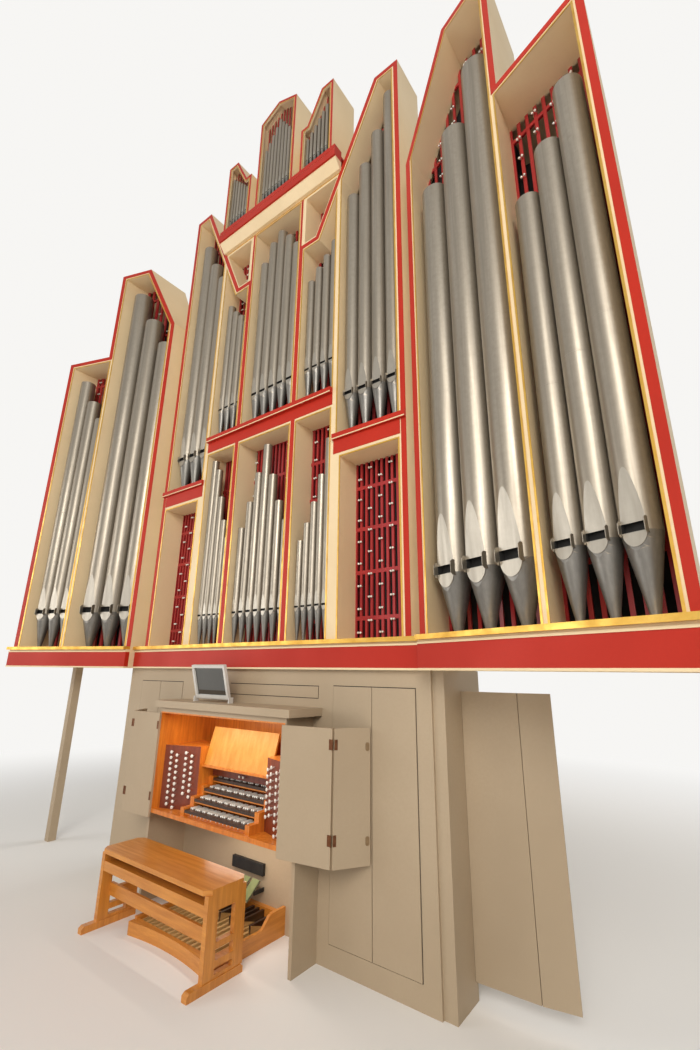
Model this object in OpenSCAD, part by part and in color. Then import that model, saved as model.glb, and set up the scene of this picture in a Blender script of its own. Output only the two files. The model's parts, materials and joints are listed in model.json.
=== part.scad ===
// Pipe organ with a main case, two turned pedal towers, a crown and an attached console.
// Millimetres. The front faces -Y, +X is the right seen from the front, the floor is z = 0.

/* [Case] */
// half of the width of the main case
main_half = 1760; // [1600:10:1900]
// half of the width of the base under it
base_half = 1905; // [1800:5:2000]
// depth of the base
base_depth = 835; // [700:5:1000]
// height of the top of the base, where the cornice begins
base_top = 1985; // [1900:5:2100]
// height of the floor that the lowest pipes stand on
floor_z = 2222; // [2150:2:2300]
// height of the gilded edge of the cornice
edge_h = 34; // [20:1:40]
// depth of the upper case
case_depth = 450; // [400:10:600]
// height of the flat tops of the main towers
tower_top = 8465; // [8200:5:8700]
// height of the underside of the ledge below the crown
crown_base = 7410; // [7200:5:7500]
// height of the top of that ledge
crown_floor = 7690; // [7600:5:7800]
// half of the width of that ledge
ledge_half = 1000; // [980:5:1030]
// how far it stands forward
ledge_out = 129; // [125:1:160]
// height of its red band's lower edge
cove_top = 7530; // [7500:5:7600]
// thickness of the front boards
front_t = 30; // [20:1:40]
// thickness of the side and top boards
board = 24; // [15:1:40]
// depth of the boxes that line the openings
reveal = 270; // [230:5:320]
// width of the red band round the front
red_w = 50; // [30:1:80]
// width of the gold line round each opening
gold_w = 14; // [8:1:24]
// how far red and gold stand out from the front boards
trim_t = 4; // [3:1:8]

/* [Pedal towers] */
// angle that each pedal tower is turned inwards
turn = 19.67; // [0:0.01:30]
// how far that edge stands in front of the main case
ped_y = 107; // [60:1:200]
// length of the front of a pedal tower
ped_len = 1768; // [1600:1:1900]
// where the back of the pedal towers lies
ped_back = 300; // [200:5:400]
// width of the posts
post_w = 90; // [60:5:120]
// depth of the boxes that line the openings of the pedal towers
ped_reveal = 340; // [320:5:400]

/* [Pipes] */
// how far the lips are pressed in, as a share of the diameter
lip_in = 0.12; // [0.08:0.01:0.15]
// height of the mouth, as a share of the diameter
mouth_h = 0.24; // [0.18:0.01:0.3]
// height of the upper lip, as a share of the diameter
lip_up = 1.5; // [0.8:0.05:1.6]
// height of the lower lip, as a share of the diameter
lip_low = 0.5; // [0.4:0.05:0.8]
// wall of the pipes
wall = 2.5; // [1.5:0.1:3]

/* [Console] */
// half of the width of the console
con_half = 923; // [880:1:960]
// half of the width of its opening
open_half = 805; // [760:1:850]
// how far the upper part of the console stands forward
con_y = 310; // [250:5:360]
// height of the key deck
deck_z = 758; // [720:1:765]
// height of the top of the opening
open_z = 1578; // [1500:1:1600]
// thickness of the boards of the console
con_board = 24; // [18:1:30]
// thickness of the wooden lining inside the console
lining = 12; // [6:1:15]
// height of the canopy
canopy_z = 1630; // [1600:1:1700]
// width of one natural key
key_w = 23.5; // [22:0.1:24]
// gap between two natural keys
key_gap = 1; // [0.6:0.1:1.5]
// half of the width between the stop jambs
jamb_x = 440; // [420:1:460]
// height of the tops of the stop jambs
jamb_top = 1290; // [1270:1:1320]
// height of the lowest row of keys
key_z = 810; // [805:1:850]
// step back from one manual to the next
step_y = 95; // [80:1:110]
// step up from one manual to the next
step_z = 70; // [60:1:80]

/* [Swell pedals and mirror] */
// width of a swell pedal
shoe_w = 95; // [80:1:110]
// length of a swell pedal
shoe_len = 176; // [150:1:180]
// slope of the swell pedals at rest
shoe_tilt = 40; // [30:1:45]
// gap at each end of a pivot
pivot_gap = 0.3; // [0.2:0.05:0.5]
// width of the mirror
mirror_w = 480; // [300:5:480]
// height of the mirror
mirror_h = 300; // [200:5:320]
// lean of the mirror towards the player
mirror_lean = 16; // [0:1:25]

/* [Bench and pedals] */
// height of the seat
seat_z = 560; // [500:5:620]
// length of the seat
seat_len = 1380; // [1200:10:1400]
// half of the width of the pedalboard
pb_half = 480; // [450:5:560]

/* [Hidden] */
// how far the tower fields move with the width of the main case
mx = main_half - 1760;
// edge between the side fields and the tower fields
tower_in = 975 + mx;
// distance of the inner front edge of a pedal tower from the middle
ped_x = base_half - 14;
ct = cos(turn);
st = sin(turn);
key_half = 33 * key_w / 2;
seat_x = -105;
// front of the panel behind the player's knees
knee_y = 140;
// outer face of the upper part of the console
up_half = open_half + con_board;
wing_top = deck_z - con_board;
// underside of the door leaves
door_z = 700;

// inward normal of the edge from p to q, for points in anticlockwise order
function nrm(p, q) = let(d = q - p, l = norm(d)) [-d[1] / l, d[0] / l];
// polygon with edge i moved inwards by D[i]
function ins(P, D) = let(n = len(P)) [for (i = [0:n - 1])
    let(a = P[(i + n - 1) % n], b = P[i], c = P[(i + 1) % n], u = nrm(a, b), v = nrm(b, c),
        d = D[(i + n - 1) % n], e = D[i], k = u[0] * v[1] - u[1] * v[0])
    [b[0] + (d * v[1] - e * u[1]) / k, b[1] + (e * u[0] - d * v[0]) / k]];
function all(P, d) = ins(P, [for (p = P) d]);
// the same with the first edge, the bottom one, left where it is
function open_down(P, d) = ins(P, [for (i = [0:len(P) - 1]) i == 0 ? 0 : d]);
// mirrored in x, still anticlockwise and with the bottom edge first
function flip(P) = let(n = len(P)) [for (i = [0:n - 1]) let(q = P[(n + 1 - i) % n]) [-q[0], q[1]]];
// place along the front of a pedal tower, as a world x
function px(a) = ped_x + ct * a;

// openings of the main front, right half, bottom edge first
o_tower = [[tower_in + 37, 4100], [main_half - 82, 4100], [main_half - 82, tower_top - 82],
           [main_half - 249, tower_top - 82], [tower_in + 37, 7272]];
o_side = [[480, 4620], [938, 4620], [938, 7108], [708, 6598], [480, 6598]];
o_tri = [[480, 6700], [650, 6700], [942, 7349], [942, 7360], [480, 7360]];
o_panel = [[tower_in + 85, floor_z], [main_half - 82, floor_z], [main_half - 82, 3860],
           [tower_in + 85, 3860]];
o_low = [[480, floor_z], [925, floor_z], [925, 4400], [480, 4400]];
o_mid = [[-380, 4620], [380, 4620], [380, 7360], [-380, 7360]];
o_lowmid = [[-380, floor_z], [380, floor_z], [380, 4400], [-380, 4400]];
main_open = [o_tower, o_side, o_tri, o_panel, o_low, flip(o_tower), flip(o_side), flip(o_tri),
             flip(o_panel), flip(o_low), o_mid, o_lowmid];
main_out = [[-main_half, floor_z - board], [main_half, floor_z - board], [main_half, tower_top],
            [main_half - 302, tower_top], [tower_in + 8, crown_base], [-tower_in - 8, crown_base],
            [302 - main_half, tower_top],
            [-main_half, tower_top]];
wing_out = [[430, floor_z], [main_half, floor_z], [main_half, tower_top], [main_half - 302, tower_top],
            [655, 6680], [430, 6680]];

// openings and outline of a pedal tower, in world x
p_out = [[px(0), floor_z - board], [px(ped_len), floor_z - board], [px(ped_len), 6325],
         [px(1067), 6325], [px(1067), 7766], [px(555), 7766], [px(0), 6671]];
p_inner = [[px(0) + 78, floor_z], [px(985), floor_z], [px(985), 7684], [px(599), 7684],
           [px(0) + 78, 6684]];
p_outer = [[px(1043), floor_z], [px(ped_len) - 78, floor_z], [px(ped_len) - 78, 6243],
           [px(1043), 6243]];

// openings and outlines of the crown
c_mid = [[-325, crown_floor], [325, crown_floor], [325, 9150], [0, 9310], [-325, 9150]];
c_side = [[450, crown_floor], [945, crown_floor], [945, 8820], [765, 8820], [550, 8368],
          [450, 8368]];
crown_out = [c_mid, c_side, flip(c_side)];

// a flat piece drawn in x and z, from y0 back to y1
module slab(y0, y1) translate([0, y1, 0]) rotate([90, 0, 0]) linear_extrude(y1 - y0) children();
// the same for a pedal tower: drawn in x and z, run along y, cut parallel to the turned front
module turned(y0, y1) intersection() {
    slab(-900, 900) children();
    translate([ped_x, -ped_y, 0]) rotate([0, 0, -turn])
        translate([-600, y0, 1500]) cube([3200, y1 - y0, 7000]);
}
// the same from y0 behind the front back to the back of the tower
module turned_back(y0) intersection() {
    slab(-900, ped_back) children();
    translate([ped_x, -ped_y, 0]) rotate([0, 0, -turn])
        translate([-600, y0, 1500]) cube([3200, 3000, 7000]);
}
module both() { children(); mirror([1, 0, 0]) children(); }
module box(x0, x1, y0, y1, z0, z1) translate([x0, y0, z0]) cube([x1 - x0, y1 - y0, z1 - z0]);
// upright bars inside an opening
module bars(P, pitch, w) intersection() {
    polygon(P);
    union() for (i = [-60:60]) translate([i * pitch - w / 2, 0]) square([w, 10000]);
}
// level rails that carry the bars
module rails(P, z0, pitch, w) intersection() {
    polygon(P);
    union() for (i = [0:8]) translate([-4000, z0 + i * pitch - w / 2]) square([8000, w]);
}
// a flue pipe: conical foot, body with an open top, and in front the flattened upper and lower
// lips with the mouth between them; a turns the mouth about the pipe
module pipe(x, y, z, d, foot, len, t, n, a = 0)
    let(r = d / 2, e = d * lip_in, cut = d * mouth_h, up = d * lip_up, low = d * lip_low)
    translate([x, y, z]) rotate([0, 0, a]) difference() {
        rotate_extrude($fn = n)
            polygon([[0, 0], [d * 0.11, 0], [r, foot], [r, foot + len], [r - t, foot + len],
                     [r - t, foot + len - r * 0.7], [0, foot + len - r * 0.7]]);
        rotate([90, 0, 90]) translate([0, 0, -d]) linear_extrude(2 * d)
            polygon([[-d, foot - low], [-r * (1 - 0.78 * low / foot), foot - low], [-r + e, foot],
                     [-r + e, foot + cut], [-r, foot + cut + up], [-d, foot + cut + up]]);
        translate([-d * 0.31, -r, foot]) cube([d * 0.62, d * 0.3, cut]);
    }

module base_case() color([0.78, 0.74, 0.66]) difference() {
    box(-base_half, base_half, 0, base_depth, 0, base_top);
    box(-base_half + 30, base_half - 30, 30, base_depth - 20, -1, base_top + 1);
    box(-con_half + 12, con_half - 12, -1, 31, -1, wing_top);
    box(-up_half, up_half, -1, 31, wing_top - 1, canopy_z);
    // grooves round the lift-off panels
    box(1030, 1784, -1, 4, 142, 1864);
    box(-1720, -957, -1, 4, 1500, 1856);
    box(-223, 879, -1, 4, 1757, 1858);
}

module base_panels() color([0.8, 0.76, 0.68]) {
    box(1036, 1404, -6, 4, 148, 1858);
    box(1410, 1778, -6, 4, 148, 1858);
    box(-1714, -1360, -3, 4, 1506, 1850);
    box(-1354, -963, -3, 4, 1506, 1850);
    box(-217, 873, -3, 4, 1763, 1852);
}

// one level band of the cornice, along the main front and both pedal towers
module band(out, z0, z1) {
    box(2 - ped_x, ped_x - 2, -out, 0, z0, z1);
    both() turned(-out, 0) polygon([[px(0), z0], [px(ped_len), z0], [px(ped_len), z1], [px(0), z1]]);
}
module cornice() color([0.9, 0.84, 0.7]) {
    difference() {
        box(2 - ped_x, ped_x - 2, 0, base_depth, base_top, floor_z - board);
        box(42 - ped_x, ped_x - 42, 40, base_depth - 40, base_top - 1, floor_z - 2 * board);
    }
    band(50, base_top, base_top + 15);
    band(50, floor_z - 62, floor_z - 48);
    band(38, floor_z - 48, floor_z - edge_h);
}
module cornice_red() color([0.72, 0.1, 0.1]) band(45, base_top + 15, floor_z - 62);
module cornice_gold() color([0.85, 0.62, 0.2]) band(75, floor_z - edge_h, floor_z);

// the part of the main case from x0 to x1: front boards, boxes round the openings, sides and back
module case_part(x0, x1) color([0.93, 0.85, 0.68]) intersection() {
    union() {
        slab(0, front_t) difference() {
            polygon(main_out);
            for (P = main_open) polygon(P);
        }
        slab(front_t, reveal) difference() {
            for (P = main_open) polygon(all(P, -12));
            for (P = main_open) polygon(P);
        }
        slab(front_t, case_depth - 20) difference() {
            polygon(main_out);
            polygon(all(main_out, board));
        }
        slab(case_depth - 20, case_depth) polygon(main_out);
    }
    box(x0, x1, -1, case_depth + 1, 0, 9000);
}
module main_case() case_part(-430, 430);
module side_case_left() mirror([1, 0, 0]) case_part(430, tower_in);
module side_case_right() case_part(430, tower_in);
module tower_case_left() mirror([1, 0, 0]) case_part(tower_in, main_half);
module tower_case_right() case_part(tower_in, main_half);

module main_red() slab(-trim_t, 0) difference() {
    union() {
        both() {
            difference() {
                polygon(wing_out);
                polygon(ins(wing_out, [0, red_w, red_w, red_w, red_w, red_w / 2]));
            }
            translate([tower_in + 1, 3902]) square([main_half - tower_in - 61, 140]);
            translate([405, floor_z]) square([26, crown_base - 24 - floor_z]);
        }
        translate([-950, 4436]) square([1900, 130]);
    }
    translate([-950, 4560]) square([1900, 60]);
    both() translate([tower_in - 5, 4040]) square([main_half - tower_in + 6, 60]);
}

module main_gold() slab(-trim_t, 0) {
    translate([-970, crown_base - 22]) square([1940, 12]);
    for (P = [o_panel, o_low, flip(o_panel), flip(o_low), o_lowmid, o_tower, flip(o_tower), o_side,
              flip(o_side), o_mid]) difference() {
        polygon(open_down(P, -gold_w));
        polygon(P);
    }
}

module main_ledges() color([0.55, 0.07, 0.06]) {
    box(-950, 950, -40, 0, 4560, 4620);
    both() box(tower_in - 5, main_half, -28, 0, 4040, 4100);
}

module main_grilles() color([0.6, 0.08, 0.1]) slab(reveal - 20, reveal) {
    for (P = [o_panel, flip(o_panel), o_low, flip(o_low), o_lowmid]) bars(P, 56, 24);
    for (P = [o_tower, flip(o_tower), o_side, flip(o_side), o_mid]) bars(P, 84, 28);
    for (P = [o_tri, flip(o_tri)]) bars(P, 56, 24);
    for (P = [o_panel, flip(o_panel), o_low, flip(o_low), o_lowmid]) rails(P, floor_z + 190, 400, 34);
    for (P = [o_tower, flip(o_tower), o_side, flip(o_side), o_mid]) rails(P, 5000, 500, 34);
}

module rear_case() color([0.72, 0.68, 0.6]) difference() {
    box(60 - main_half, main_half - 60, case_depth, base_depth, floor_z - board, 6500);
    box(60 + board - main_half, main_half - 60 - board, case_depth - 1, base_depth - board, floor_z,
        6500 - board);
}

// tray that carries the crown: a red front band with a groove, and a cream cove below it
module crown_ledge() color([0.75, 0.12, 0.1]) difference() {
    union() {
        box(-ledge_half, ledge_half, -ledge_out, -4, cove_top, crown_floor);
        box(-970, 970, -5, case_depth, cove_top, crown_floor);
    }
    box(30 - ledge_half, ledge_half - 30, 30 - ledge_out, case_depth + 1, cove_top - 1, crown_floor - 24);
    box(-ledge_half - 1, ledge_half + 1, -ledge_out - 1, 4 - ledge_out, cove_top + 92, cove_top + 100);
}
module cove() {
    translate([-ledge_half, 0, 0]) rotate([90, 0, 90]) linear_extrude(2 * ledge_half)
        polygon([[-4, crown_base], [-4, cove_top], [20 - ledge_out, cove_top],
                 [20 - ledge_out, cove_top - 22], [-34, crown_base]]);
    both() box(940, 970, -4, case_depth, crown_base, cove_top);
    box(-940, 940, -4, 20, crown_base, cove_top);
}

module crown_case() color([0.93, 0.85, 0.68]) {
    cove();
    for (P = crown_out) {
        slab(-117, -95) difference() { polygon(P); polygon(open_down(P, 46)); }
        slab(-95, 280) difference() { polygon(P); polygon(open_down(P, 18)); }
        slab(280, 298) polygon(P);
    }
    both() box(325, 450, 60, 280, crown_floor, 8340);
}

module crown_red() slab(-121, -117) for (P = crown_out) difference() {
    polygon(P);
    polygon(open_down(P, 28));
}

module crown_gold() slab(-121, -117) for (P = crown_out) difference() {
    polygon(open_down(P, 36));
    polygon(open_down(P, 46));
}

module crown_grilles() color([0.6, 0.08, 0.1]) slab(-15, -5)
    for (P = crown_out) bars(open_down(P, 18), 55, 18);

module pedal_case() color([0.93, 0.85, 0.68]) {
    turned(0, front_t) difference() { polygon(p_out); polygon(p_inner); polygon(p_outer); }
    turned(front_t, ped_reveal) difference() {
        union() { polygon(all(p_inner, -12)); polygon(all(p_outer, -12)); }
        polygon(p_inner);
        polygon(p_outer);
    }
    turned_back(front_t) difference() { polygon(p_out); polygon(all(p_out, board)); }
    intersection() {
        turned_back(front_t) polygon(p_out);
        slab(ped_back - 20, ped_back) polygon(p_out);
    }
    // beams under the tower, down to the cornice line
    difference() {
        turned_back(0) polygon([[px(0), base_top], [px(ped_len), base_top],
                                [px(ped_len), floor_z - board], [px(0), floor_z - board]]);
        intersection() {
            turned_back(40) polygon([[px(0) + 40, base_top - 1], [px(ped_len) - 40, base_top - 1],
                                     [px(ped_len) - 40, floor_z - 2 * board],
                                     [px(0) + 40, floor_z - 2 * board]]);
            box(0, 4000, -900, ped_back - 40, 0, 3000);
        }
    }
}
module pedal_case_left() mirror([1, 0, 0]) pedal_case();
module pedal_case_right() pedal_case();

module pedal_red() both() turned(-trim_t, 0) difference() {
    polygon([[px(0), floor_z], [px(ped_len), floor_z], [px(ped_len), 6325], [px(1067), 6325],
             [px(1067), 7766], [px(555), 7766], [px(0), 6671]]);
    polygon(ins([[px(0), floor_z], [px(ped_len), floor_z], [px(ped_len), 6325], [px(1067), 6325],
                 [px(1067), 7766], [px(555), 7766], [px(0), 6671]],
                [0, red_w, red_w, red_w, red_w, red_w, red_w]));
}

module pedal_gold() both() turned(-trim_t, 0) difference() {
    union() { polygon(open_down(p_inner, -gold_w)); polygon(open_down(p_outer, -gold_w)); }
    polygon(p_inner);
    polygon(p_outer);
}

// the bands and lines on all the fronts
module red_bands() color([0.82, 0.2, 0.12]) { main_red(); crown_red(); pedal_red(); }
module gold_lines() color([0.88, 0.66, 0.22]) { main_gold(); crown_gold(); pedal_gold(); }

module pedal_grilles() color([0.6, 0.08, 0.1]) both() turned(ped_reveal - 20, ped_reveal) {
    bars(p_inner, 90, 30);
    bars(p_outer, 72, 28);
    rails(p_inner, 2600, 700, 36);
    rails(p_outer, 2600, 700, 36);
}

module pedal_supports() color([0.76, 0.72, 0.64]) {
    both() box(base_half, base_half + post_w, 20, 325, 0, base_top);
    // the post under the outer end of the left tower
    box(-px(1401) - post_w, -px(1401), -60, 30, 0, floor_z - 2 * board);
}

// distance along the front, diameter, body length
pedal_left = [[213, 250, 3798], [490, 262, 4245], [770, 268, 4770],
              [1135, 180, 2723], [1325, 186, 3025], [1515, 192, 3387]];
pedal_right = [[213, 250, 3543], [490, 262, 3945], [770, 268, 4415],
               [1135, 180, 2508], [1325, 186, 2796], [1515, 192, 3150]];
module pedal_pipes(L) color([0.66, 0.64, 0.58]) for (p = L) let(d = 40 + p[1] / 2)
    pipe(ped_x + ct * p[0] + st * d, -ped_y - st * p[0] + ct * d, floor_z, p[1], 418, p[2], wall, 24,
         -turn);
module pedal_pipes_left() mirror([1, 0, 0]) pedal_pipes(pedal_left);
module pedal_pipes_right() pedal_pipes(pedal_right);

// x, y, foot height, diameter, foot length, top height
module row(L) color([0.68, 0.66, 0.6]) for (p = L)
    pipe(p[0], p[1], p[2], p[3], p[4], p[5] - p[2] - p[4], wall, 16);
module tower_pipes_left() translate([-mx, 0, 0]) row([[-1563, 138, 4100, 190, 430, 7940], [-1353, 138, 4100, 190, 430, 7504],
                               [-1143, 138, 4100, 190, 430, 7166]]);
module tower_pipes_right() translate([mx, 0, 0]) row([[1100, 120, 4100, 156, 430, 7025], [1262, 120, 4100, 156, 430, 7356],
                                [1424, 120, 4100, 156, 430, 7720], [1588, 120, 4100, 156, 430, 8187]]);
module side_pipes() both() row([[540, 92, 4620, 98, 390, 6160], [650, 92, 4620, 98, 390, 6290],
                                [760, 92, 4620, 98, 390, 6400], [870, 92, 4620, 98, 390, 6540]]);
module centre_pipes() row([[-276, 106, 4620, 128, 390, 6890], [-138, 106, 4620, 128, 390, 7132],
                           [0, 106, 4620, 128, 390, 7235], [138, 106, 4620, 128, 390, 7080],
                           [276, 106, 4620, 128, 390, 6880]]);
module lower_pipes() {
    row([[540, 74, floor_z, 70, 300, 3150], [620, 74, floor_z, 72, 300, 3310],
         [702, 74, floor_z, 75, 300, 3505], [786, 74, floor_z, 78, 300, 3765],
         [870, 74, floor_z, 80, 300, 4120]]);
    row([[-540, 74, floor_z, 70, 300, 3350], [-620, 74, floor_z, 72, 300, 3560],
         [-702, 74, floor_z, 75, 300, 3850], [-786, 74, floor_z, 78, 300, 4200],
         [-870, 74, floor_z, 80, 300, 4330]]);
    row([[-324, 84, floor_z, 84, 300, 3420], [-216, 84, floor_z, 88, 300, 3690],
         [-108, 84, floor_z, 92, 300, 4000], [0, 84, floor_z, 96, 300, 4300],
         [108, 84, floor_z, 92, 300, 3930], [216, 84, floor_z, 88, 300, 3620],
         [324, 84, floor_z, 84, 300, 3400]]);
}
module crown_pipes() {
    for (i = [-4:4]) row([[i * 60, -60, crown_floor, 50, 190, 9020 - abs(i) * 95]]);
    both() for (i = [0:6]) row([[518 + i * 60, -60, crown_floor, 46, 170, 8210 + i * 68]]);
}

module console_case() color([0.78, 0.74, 0.66]) {
    both() {
        // wings beside the knees, and the sides of the box above them
        box(con_half - 30, con_half, -258, 0, 0, wing_top);
        box(con_half - 30, con_half - 12, 0, knee_y + 18, 0, wing_top);
        box(open_half, con_half - 30, -258, knee_y + 18, wing_top - con_board, wing_top);
        box(open_half + lining, up_half, -con_y, 348, wing_top, canopy_z);
    }
    box(-up_half, up_half, -con_y, -con_y + con_board, open_z + lining, canopy_z);
    box(-up_half, up_half, 330 + lining, 348, wing_top, canopy_z);
    box(-con_half + 30, con_half - 30, knee_y, knee_y + 18, 0, wing_top);
}

// wooden inside of the box: deck, sides, back and ceiling, with a lip along the front of the deck
module console_lining() color([0.72, 0.36, 0.12]) {
    box(-open_half - lining, open_half + lining, -con_y, 330 + lining, wing_top, deck_z);
    box(-open_half, open_half, -con_y, -con_y + 14, deck_z, deck_z + 9);
    both() box(open_half, open_half + lining, -con_y, 330 + lining, deck_z, open_z + lining);
    box(-open_half, open_half, 330, 330 + lining, deck_z, open_z + lining);
    box(-open_half, open_half, -con_y, 330, open_z, open_z + lining);
}

module console_canopy() color([0.8, 0.76, 0.68]) translate([0, 0, canopy_z]) linear_extrude(60)
    polygon([[-885, -345], [885, -345], [con_half, 0], [-con_half, 0]]);

// a door leaf from one point in plan to another
module leaf(p, q, z0, z1, t) translate([p[0], p[1], z0])
    rotate([0, 0, atan2(q[1] - p[1], q[0] - p[0])]) translate([0, -t / 2, 0])
        cube([norm(q - p), t, z1 - z0]);
module console_doors() color([0.8, 0.76, 0.68]) {
    leaf([open_half + 1, -con_y - 15.5], [1238, -con_y + 57.5], door_z, open_z, 22);
    leaf([1246.3, -con_y + 60], [1396, -20], door_z, open_z, 22);
    leaf([-open_half - 1, -con_y - 11.4], [-1216, -con_y - 35], door_z, open_z, 22);
    leaf([-1224.1, -con_y - 29], [-1392, -118], door_z, open_z, 22);
}

module stop_jambs() color([0.55, 0.27, 0.1]) both() translate([0, 0, deck_z]) linear_extrude(jamb_top - deck_z)
    polygon([[open_half, -230], [open_half, 200], [jamb_x, 200], [jamb_x, -104]]);

module stop_knobs() color([0.93, 0.92, 0.88]) both()
    for (i = [0:3], j = [0:9]) translate([488 + i * 84, -120.6 - i * 29, deck_z + 45 + j * 48])
        rotate([0, 0, -19.05]) rotate([90, 0, 0]) cylinder(h = 34, d = 26, $fn = 6);

module music_desk() color([0.8, 0.5, 0.22]) {
    translate([12 - jamb_x, -60, 1140]) rotate([-16, 0, 0]) cube([2 * jamb_x - 24, 16, 330]);
    box(-jamb_x, jamb_x, -75, 200, 1122, 1140);
    box(-jamb_x, jamb_x, 60, 200, key_z + 14 + 3 * step_z, 1122);
}

// four steps of key frame, each under its own row of keys
module key_frames() color([0.7, 0.4, 0.17]) {
    for (i = [0:3]) {
        box(-key_half - 2, key_half + 2, -254 + i * step_y, 200, key_z - 34 + i * step_z,
            key_z - 22 + i * step_z);
        both() box(key_half + 2, jamb_x, -262 + i * step_y, i == 3 ? 200 : -262 + (i + 1) * step_y,
                   deck_z, key_z + 14 + i * step_z);
    }
    box(-key_half, key_half, -235, 200, deck_z, key_z - 34);
}

module keys() for (i = [0:3]) translate([-key_half, -260 + i * step_y, key_z + i * step_z]) {
    color([0.12, 0.1, 0.09]) for (k = [0:32])
        box(k * key_w + key_gap / 2, (k + 1) * key_w - key_gap / 2, 0, 140, -22, 0);
    color([0.9, 0.86, 0.76]) for (k = [0:31]) if (k % 7 != 2 && k % 7 != 6)
        translate([(k + 1) * key_w - 5.5, 48, 0]) rotate([90, 0, 90]) linear_extrude(11)
            polygon([[0, 0], [92, 0], [92, 11], [5, 11]]);
}

// pivots of the two swell pedals, and of the mirror
shoe_y = 45;
shoe_z = 250;
shoe_x = [15, 15 + shoe_w + 15];
mirror_y = -175;
mirror_z = canopy_z + 95;

module swell_frame() color([0.1, 0.1, 0.1]) {
    box(-150, 233, knee_y - 28, knee_y, 345, 430);
    for (x = [shoe_x[0] - 12 - pivot_gap, shoe_x[1] + shoe_w + pivot_gap])
        box(x, x + 12, shoe_y - 14, knee_y, shoe_z - 16, shoe_z + 12);
    box(shoe_x[0] + shoe_w + pivot_gap, shoe_x[1] - pivot_gap, shoe_y - 14, knee_y, shoe_z - 16,
        shoe_z + 12);
}
module shoe(x) translate([x, shoe_y, shoe_z]) {
    rotate([0, 90, 0]) cylinder(h = shoe_w, r = 8, $fn = 24);
    rotate([shoe_tilt, 0, 0]) translate([6, -shoe_len / 2, 3])
        cube([shoe_w - 12, shoe_len, 12]);
}
module swell_pedal_left() color([0.45, 0.42, 0.3]) shoe(shoe_x[0]);
module swell_pedal_right() color([0.45, 0.42, 0.3]) shoe(shoe_x[1]);

module mirror_bracket() color([0.6, 0.6, 0.58]) for (x = [-mirror_w - 12 - pivot_gap, pivot_gap])
    box(x, x + 12, mirror_y - 25, mirror_y + 25, canopy_z + 60, mirror_z + 15);
module player_mirror() color([0.85, 0.84, 0.8]) translate([-mirror_w, mirror_y, mirror_z]) {
    rotate([0, 90, 0]) cylinder(h = mirror_w, r = 9, $fn = 24);
    rotate([mirror_lean, 0, 0]) translate([6, -14, 4]) difference() {
        cube([mirror_w - 12, 28, mirror_h]);
        translate([26, -1, 26]) cube([mirror_w - 64, 16, mirror_h - 52]);
    }
}

module bench() color([0.75, 0.45, 0.18]) translate([seat_x, 0, 0]) {
    translate([0, 0, seat_z - 32]) linear_extrude(32)
        polygon([[-seat_len / 2 + 45, -735], [seat_len / 2 - 45, -735], [seat_len / 2, -690],
                 [seat_len / 2, -420], [seat_len / 2 - 45, -375], [-seat_len / 2 + 45, -375],
                 [-seat_len / 2, -420], [-seat_len / 2, -690]]);
    box(-seat_len / 2 + 40, seat_len / 2 - 40, -700, -400, 440, 458);
    box(-seat_len / 2 + 40, seat_len / 2 - 40, -718, -700, 400, 470);
    box(-seat_len / 2 + 40, seat_len / 2 - 40, -640, -618, 210, 300);
    both() {
        difference() {
            box(seat_len / 2 - 40, seat_len / 2, -720, -390, 50, seat_z - 32);
            box(seat_len / 2 - 41, seat_len / 2 + 1, -630, -480, 250, 430);
            box(seat_len / 2 - 41, seat_len / 2 + 1, -630, -480, 150, 212);
            box(seat_len / 2 - 41, seat_len / 2 + 1, -630, -480, 72, 108);
        }
        translate([seat_len / 2 - 46, 0, 0]) rotate([90, 0, 90]) linear_extrude(52)
            polygon([[-835, 0], [-385, 0], [-385, 34], [-402, 50], [-815, 50], [-835, 34]]);
    }
}

module pedalboard() color([0.72, 0.43, 0.18]) {
    both() translate([pb_half - 26, 0, 0]) rotate([90, 0, 90]) linear_extrude(26)
        polygon([[-560, 0], [knee_y - 0.3, 0], [knee_y - 0.3, 190], [0, 190], [-30, 182],
                 [-95, 118], [-125, 110], [-560, 110]]);
    // front board, hollowed in a long curve
    difference() {
        box(-pb_half, pb_half, -610, -530, 0, 90);
        translate([0, -610 - 2400 + 46, -1]) cylinder(h = 92, r = 2400, $fn = 240);
    }
    box(-pb_half + 26, pb_half - 26, 100, knee_y - 0.3, 0, 150);
    box(-pb_half + 26, pb_half - 26, -300, -260, 0, 50);
}

module pedal_keys() {
    for (k = [0:15]) color([0.85, 0.68, 0.4])
        box(-pb_half + 36 + k * 56.8, -pb_half + 58 + k * 56.8, -530, 100, 50, 84);
    for (k = [0:14]) if (k % 7 != 2 && k % 7 != 6) color([0.2, 0.13, 0.09])
        box(-pb_half + 64 + k * 56.8, -pb_half + 86 + k * 56.8, -150, 100, 50, 135);
}

module passage_door() color([0.74, 0.7, 0.62]) {
    leaf([base_half + post_w + 1, 300], [base_half + post_w + 400, 318], 110, 1842, 26);
    leaf([base_half + post_w + 402.3, 318], [base_half + post_w + 610, 360], 110, 1842, 26);
}

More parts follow.
